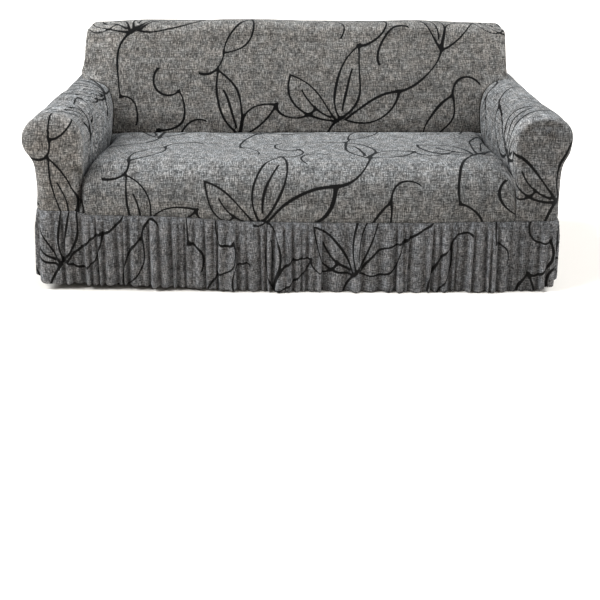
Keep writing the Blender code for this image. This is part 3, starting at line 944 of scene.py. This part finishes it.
faceLook = {
    "slack": ((0.002, 0.36, 41), (0.0009, 0.12, 42)),
    "topEdge": (0.003, 0.42, 43),  # its top edge wanders up and down
    "pull": (0.0022, 0.3, 0.3, 44),  # creases that fan out from the seat's rear corners
    "pullAt": (("across~", 0.74, 0.12), ("z~", 0.47, 0.1)),
    "tug": (0.0024, 0.045, 0.25, 45),  # and over the arms
    "tugAt": (("across~", 0.8, 0.1), ("z~", 0.67, 0.07)),
    "forms": (  # ends drawn in, and the face sunk towards them
        (-0.006, ("across", 0.846, 0.852), ("y~", 0.74, 0.06), ("z~", 0.75, 0.07)),
        (-0.016, ("across", 0.71, 0.81), ("across", 0.851, 0.825)),
    ),
    "shades": (  # painted light: paler at the foot, most left of its middle, least at its ends
        (0.6, ("z", 0.62, 0.42)),
        (0.35, ("x~", -0.19, 0.17), ("z", 0.62, 0.42)),
        (-0.3, ("across", 0.58, 0.72), ("z", 0.62, 0.42)),
        (-0.2, ("x", 0.52, 0.68), ("z", 0.62, 0.42)),
        (0.1, ("x", -0.68, -0.8)),
        (-0.1, ("z", 0.845, 0.86)),
        (0.14, ("across", 0.5, 0.75), ("z", 0.7, 0.78)),
    ),
}


def insideBackShape(at):
    x, z, across = at["x"], at["z"], at["across"]
    push = hills(x, z, *faceLook["slack"])
    turn = np.arctan2(z - 0.42, 0.80 - across)
    push += creases(turn, across, *faceLook["pull"]) * within(at, faceLook["pullAt"])
    push += creases(z - 0.7 * across, across, *faceLook["tug"]) * within(at, faceLook["tugAt"])
    push += spread(at, faceLook["forms"])
    topEdge = hills(x, 0 * x, faceLook["topEdge"]) * smooth(z, 0.80, 0.86) * smooth(at["edge"], 0.0, 0.02)
    return heldAtSeams(at, push, 0.05) + topEdge, spread(at, faceLook["shades"])


def outsideBackPatches():
    rings, angles, _ = backEnd()
    armSide = spline(armRear, outerPlaces[::-1])[:-1]
    armSide[0, 1] = seamTop
    crownEnd = float(spline(armRear, ringEnd)[1])
    crease = np.array([(back["halfWidth"] + 0.004, crownEnd), (back["halfWidth"], crownEnd + 0.004)])
    topEnd = rings[-1][-1, 1]
    up = np.linspace(crownEnd + 0.004, topEnd, 24)[1:-1]
    endSide = np.stack([np.full(len(up), back["halfWidth"]), up], 1)
    top = np.stack([backEndStart + back["endRound"] * np.sin(angles), rings[:, -1, 1]], 1)[::-1]
    right = np.vstack([armSide, crease, endSide, top])
    across = np.linspace(1, -1, 217)[1:-1] * backEndStart
    middle = np.stack([across, np.full(len(across), top[-1, 1])], 1)
    curve = np.vstack([right, middle, (right * (-1, 1))[::-1]])
    side = outward(curve)
    side[[0, -1]] = ((-1, 0), (1, 0))
    at, flat, angles = rimRings(curve, -side, np.full(len(curve), cloth["rearRound"]), 7)
    at[:, [0, -1], 1] = seamTop
    depth = rearSeam + cloth["rearRound"] * np.sin(angles)
    return facePanel(at, depth, flat, fillInside(at[-1], len(right) - 4), cloth["depth"], -1)


rearLook = {
    "slack": ((0.0035, 0.45, 51), (0.0012, 0.14, 52)),
    "hang": (0.003, 0.16, 0.5, 53),  # long soft folds that hang from the arms' height down
}


def outsideBackShape(at):
    x, z = at["x"], at["z"]
    push = hills(x, z, *rearLook["slack"])
    push += creases(x + 0.1 * z, z, *rearLook["hang"]) * smooth(z, 0.62, 0.37)
    return heldAtSeams(at, push, 0.06), 0


# The gathered skirt: four lengths, joined at the middle of each corner
skirt = {
    "corner": 0.05,  # plan radius of the seam's corners
    "halfWidth": 0.932,
    "stand": 0.001,  # how far the troughs hang off the seam line
    "flare": 0.007,  # how much further out it hangs at the hem
    "fold": 0.064,  # mean width of a gather, most of which split in two
    "splitOver": 0.036,  # width past which they may
    "depth": 0.031,  # of the deepest gathers
    "ridge": 1.35,  # over 1 for narrow ridges and broad troughs
    "column": 0.0024,  # size of a cell of the mesh
    "rows": 40,
    "hemLift": 0.003,  # hem between the gathers
    "corners": (  # way round to the side, lift of the hem there, its reach along the front and the side
        (1, 0.043, 0.068, 0.095),
        (-1, 0.034, 0.05, 0.09),
    ),
    "leftLift": 0.002,  # hem hitched up round the front left corner
    "split": 0.88,  # share of the wide gathers that split
    "puckers": (0.001, 0.013, 3),  # under the seam: depth, size, seed
    "sway": (0.0035, 0.26, 4),  # slow swing in and out
    "hemSway": (0.0012, 0.18, 5),  # and of the hem up and down
    "paintedShade": (0.34, 0.2, 0.1),  # painted shade: how much darker it is between the gathers, in puckers and along the seam
}
frontRun = 2 * (skirt["halfWidth"] - skirt["corner"])
sideRun = cloth["depth"] - 2 * skirt["corner"]
arcRun = quarter * skirt["corner"]
aroundRun = 2 * (frontRun + sideRun) + 4 * arcRun


def seamPlan(run):
    # plan of the seam and its outward direction at distances along it, from the front left corner
    half, corner, rear = skirt["halfWidth"], skirt["corner"], cloth["depth"]
    starts = ((corner - half, 0.0), (half, corner), (half - corner, rear), (-half, rear - corner))
    ways = ((1, 0), (0, 1), (-1, 0), (0, -1))
    run = np.mod(run, aroundRun)
    place, out = np.zeros((len(run), 2)), np.zeros((len(run), 2))
    begin = 0.0
    for (x, y), (dx, dy), length in zip(starts, ways, (frontRun, sideRun) * 2):
        along = run - begin
        straight = (along >= 0) & (along <= length)
        place[straight] = np.stack([x + dx * along, y + dy * along], 1)[straight]
        out[straight] = (dy, -dx)
        turn = (along - length) / corner
        bend = (turn > 0) & (turn < quarter)
        away = np.stack([dy * np.cos(turn) + dx * np.sin(turn), -dx * np.cos(turn) + dy * np.sin(turn)], 1)
        centre = (x + dx * length - dy * corner, y + dy * length + dx * corner)
        place[bend] = (np.array(centre) + away * corner)[bend]
        out[bend] = away[bend]
        begin += length + arcRun
    return place, out


def cornerLift(run):
    # the hem curves up at the front corners, most where they turn into the sides
    lift = 0 * run
    for way, most, alongFront, alongSide in skirt["corners"]:
        turn = frontRun + arcRun if way > 0 else -arcRun
        past = way * ((run - turn + aroundRun / 2) % aroundRun - aroundRun / 2)
        lift = lift + most * np.exp(-(past / np.where(past > 0, alongSide, alongFront)) ** 2)
    past = (run + aroundRun / 2) % aroundRun - aroundRun / 2
    return lift + skirt["leftLift"] * smooth(past, -0.60, -0.10) * smooth(past, 0.60, 0.25)


def foldTable(start, end, seed):
    # troughs between the gathers: place along the run at the seam and at the hem, how far out each stands
    # there, and the height and lean of the ridge that follows it
    rng = np.random.default_rng(100 + seed)
    number = np.arange(round((end - start) / skirt["fold"]))
    widths = 1 + 0.26 * np.sin(2.4 * number + seed) + 0.14 * np.sin(5.1 * number + 2 * seed)
    edges = start + np.concatenate([[0], np.cumsum(widths)]) * (end - start) / widths.sum()
    heights = 1 - 0.3 * (0.5 + 0.5 * np.sin(1.7 * number + seed))
    rows = []

    def addTrough(place, stray, floors, height, least):
        rows.append((place, place + stray, *floors, height * rng.uniform(least, 1.1), rng.uniform(0.7, 1.5)))

    for low, high, height in zip(edges, edges[1:], heights):
        stray = rng.uniform(-0.006, 0.006) if rows else 0
        addTrough(low, stray, (rng.uniform(0, 0.2), rng.uniform(0, 0.1)), height, 0.6)
        if high - low > skirt["splitOver"] and rng.uniform() < skirt["split"]:
            floors = ((rng.uniform(0.1, 0.3), 0.7), (0.6, rng.uniform(0.05, 0.2)), (0.2, 0.2))
            floors = floors[rng.integers(3)]
            middle = mix(low, high, rng.uniform(0.36, 0.64))
            addTrough(middle, rng.uniform(-0.005, 0.005), floors, height, 0.45)
    rows.append((end, end, 0.1, 0.1, 0, 1))
    return np.array(rows).T


def gathers(table, down):
    # run along the seam and wave of the cloth, from 0 in troughs to 1 on the highest ridges, column by column
    atSeam, atHem, floorSeam, floorHem, heights, leans = table
    fold, share = [], []
    for number, width in enumerate(np.diff(atSeam)):
        count = max(8, round(width / skirt["column"]))
        steps = (1 - np.cos(np.pi * np.arange(count) / count)) / 2
        fold.append(np.full(count, number))
        share.append(mix(np.arange(count) / count, steps, 0.6))
    fold = np.append(np.concatenate(fold), len(atSeam) - 2)
    share = np.append(np.concatenate(share), 1.0)[None]
    settled = smooth(down, 0, 1)[:, None]
    run, floor = (mix(*(mix(top[i], foot[i], settled) for i in (fold, fold + 1)), share)
                  for top, foot in ((atSeam, atHem), (floorSeam, floorHem)))
    floor = floor * heights[fold]
    ridge = np.sin(np.pi * share ** leans[fold]) ** skirt["ridge"]
    return run, floor + (heights[fold] - floor) * ridge


def skirtPatch(start, end, seed, strength, calm):
    start, end = start + gap / 2, end - gap / 2
    down = np.linspace(0, 1, skirt["rows"] + 1) ** 1.15
    run, wave = gathers(foldTable(start, end, seed), down)
    level = np.broadcast_to(down[:, None], run.shape)
    place, out = (part.reshape(*run.shape, 2) for part in seamPlan(run.ravel()))
    drop = cloth["seam"] - gap / 2
    metres = level * drop
    quiet = np.full(run.shape, strength)
    for middle, width, less in calm:
        quiet -= less * np.exp(-((run - middle) / width) ** 2)
    ends = smooth(np.minimum(run - start, end - run), 0.0, 0.012)
    away = skirt["stand"] * smooth(metres, 0, 0.035) + skirt["flare"] * level
    opened = mix(0.5, 1.0, smooth(metres, 0.01, 0.09)) * smooth(metres, 0, 0.020)
    away = away + skirt["depth"] * wave * opened * quiet * mix(0.4, 1.0, ends)
    pucker = smooth(metres, 0.07, 0.02) * smooth(metres, 0, 0.008)
    away += hills(run, 0.25 * level, skirt["puckers"], seed=seed) * ends * (0.35 + pucker)
    away += hills(run, 0 * run, skirt["sway"], seed=seed) * level * ends
    hem = skirt["hemLift"] * (1 - wave) * quiet + cornerLift(run)
    hem += hills(run, 0 * run, skirt["hemSway"], seed=seed)
    z = drop - (drop - np.maximum(hem, 0)) * level
    x, y = (place + out * away[..., None]).transpose(2, 0, 1)
    middleRow = len(down) * 2 // 3
    flatRun = runAlong(np.stack([x[middleRow], y[middleRow]], 1))
    return patch(x, y, z, flatRun[None, :], -metres), flatRun[-1]


def skirtShape(at):
    # the gathers are shaped already, so this only paints shade on the cloth between them and under the seam
    x, y, middle, corner = at["x"], at["y"], cloth["depth"] / 2, skirt["corner"]
    beyondX = at["across"] - skirt["halfWidth"] + corner
    beyondY = abs(y - middle) - middle + corner
    out = np.hypot(np.maximum(beyondX, 0), np.maximum(beyondY, 0))
    out += np.minimum(np.maximum(beyondX, beyondY), 0)
    level = np.clip(1 - at["z"] / cloth["seam"], 0, 1)
    metres = level * cloth["seam"]
    trough = smooth(out - corner - skirt["flare"] * level - skirt["stand"], 0.014, 0.0)
    pucker = np.maximum(ripple(x + y, 0 * x, 0.014, 61), 0) * smooth(metres, 0.045, 0.010)
    between, puckered, head = skirt["paintedShade"]
    pale = -between * trough * smooth(metres, 0.0, 0.04) - puckered * pucker - head * smooth(metres, 0.02, 0)
    return 0 * x, pale


seatCore = (0, -0.02, 0.15)
body = (
    # node, patches, point it covers, shape, cloth, flat cut, share of it that is cut, origin on the cloth
    ("inside_back", insideBackPatches(), (0, 0.33, 0.55), insideBackShape, "back",
     (2.02, 0.62), 0.78, (0.05, 0.05)),
    ("outside_back", outsideBackPatches(), seatCore, outsideBackShape, "back",
     (1.93, 0.64), 0.90, (0.31, 0.40)),
    ("seat", seatPatches(), seatCore, seatShape, "body", (1.58, 0.81), 0.97, (0.36, 0.17)),
)
for name, patches, core, shape, material, flat, share, origin in body:
    sewSheet(name, patches, core, shape, cloths[material], 2, origin)
print("back and seat sewn")

arms = (
    # side, way to it, origins of the arm and its front
    ("right", 1, (0.12, 0.05), (0.06, 0.13)),
    ("left", -1, (0.47, 0.30), (0.62, 0.52)),
)
for side, way, origin, frontOrigin in arms:
    grids, fronts = armPatches(), armFrontPatches()
    if way < 0:
        grids, fronts = mirrored(grids, False), mirrored(fronts, True)
    core = (way * 0.850, -0.02, 0.400)
    sewSheet("arm_" + side, grids, core, armShape(way > 0), cloths["body"],
             1, origin)
    sewSheet("arm_front_" + side, fronts, core, armFrontShape(way > 0), cloths[side + " arm front"],
             1, frontOrigin)
print("arms sewn")

frontSpan, sideSpan = frontRun + arcRun, sideRun + arcRun
calmFront = ((frontRun - 0.03, 0.10, 0.55), (0.62, 0.05, 0.25))
skirtRuns = (
    # node, its run, seed, share of the full depth, calm stretches (middle, width, less), origin on the cloth,
    # rows on the bake map
    ("skirt_front", frontSpan, 1, 1.0, calmFront, (0.10, 0.30), 3),
    ("skirt_right", sideSpan, 2, 0.5, (), (0.55, 0.12), 2),
    ("skirt_back", frontSpan, 3, 0.9, (), (0.22, 0.60), 3),
    ("skirt_left", sideSpan, 4, 0.65, (), (0.71, 0.44), 2),
)
end = -arcRun / 2
for name, span, seed, strength, calm, origin, rows in skirtRuns:
    start, end = end, end + span
    grid, width = skirtPatch(start, end, seed, strength, calm)
    flat = (round(float(width), 2), 0.28)
    sewSheet(name, [grid], seatCore, skirtShape, cloths["skirt"],
             rows, origin)
    print(name, "flat width %.3f" % width)
print("skirt gathered")

# A plain pale floor in a pale room, and soft cool light from high on both sides
studio = {
    "floor": {"Base Color": (0.715, 0.66, 0.595, 1.0), "Roughness": 0.9, "Specular IOR Level": 0.1},
    "world": 0.40,
    "lights": (  # where each shines from, strength
        ("left", (-1.0, -0.14, 1.0), 6.0),
        ("right", (1.0, 0.04, 1.05), 5.0),
    ),
    "spread": 36,  # degrees
    "colour": (0.94, 1.0, 1.065),
}


def addStudio():
    bpy.ops.object.select_all(action="DESELECT")
    bpy.ops.mesh.primitive_circle_add(vertices=96, radius=30, fill_type="NGON", location=(0, 0, -0.0015))
    floor = bpy.context.active_object
    floor.name = "floor"
    bpy.ops.object.transform_apply(location=True)
    paper = bpy.data.materials.new("pale floor")
    paper.use_nodes = True
    shader = paper.node_tree.nodes["Principled BSDF"]
    for socket, value in studio["floor"].items():
        shader.inputs[socket].default_value = value
    floor.data.materials.append(paper)
    world = bpy.data.worlds.new("studio")
    world.use_nodes = True
    background = world.node_tree.nodes["Background"]
    background.inputs["Color"].default_value = (1, 1, 1, 1)
    background.inputs["Strength"].default_value = studio["world"]
    bpy.context.scene.world = world
    for name, way, strength in studio["lights"]:
        lamp = bpy.data.lights.new(name, "SUN")
        lamp.energy = strength
        lamp.angle = math.radians(studio["spread"])
        lamp.color = studio["colour"]
        stand = bpy.data.objects.new(name, lamp)
        stand.rotation_euler = Vector(way).to_track_quat("Z", "Y").to_euler()
        bpy.context.scene.collection.objects.link(stand)
    bpy.context.scene.view_settings.view_transform = "Standard"


addStudio()
print("studio lit")
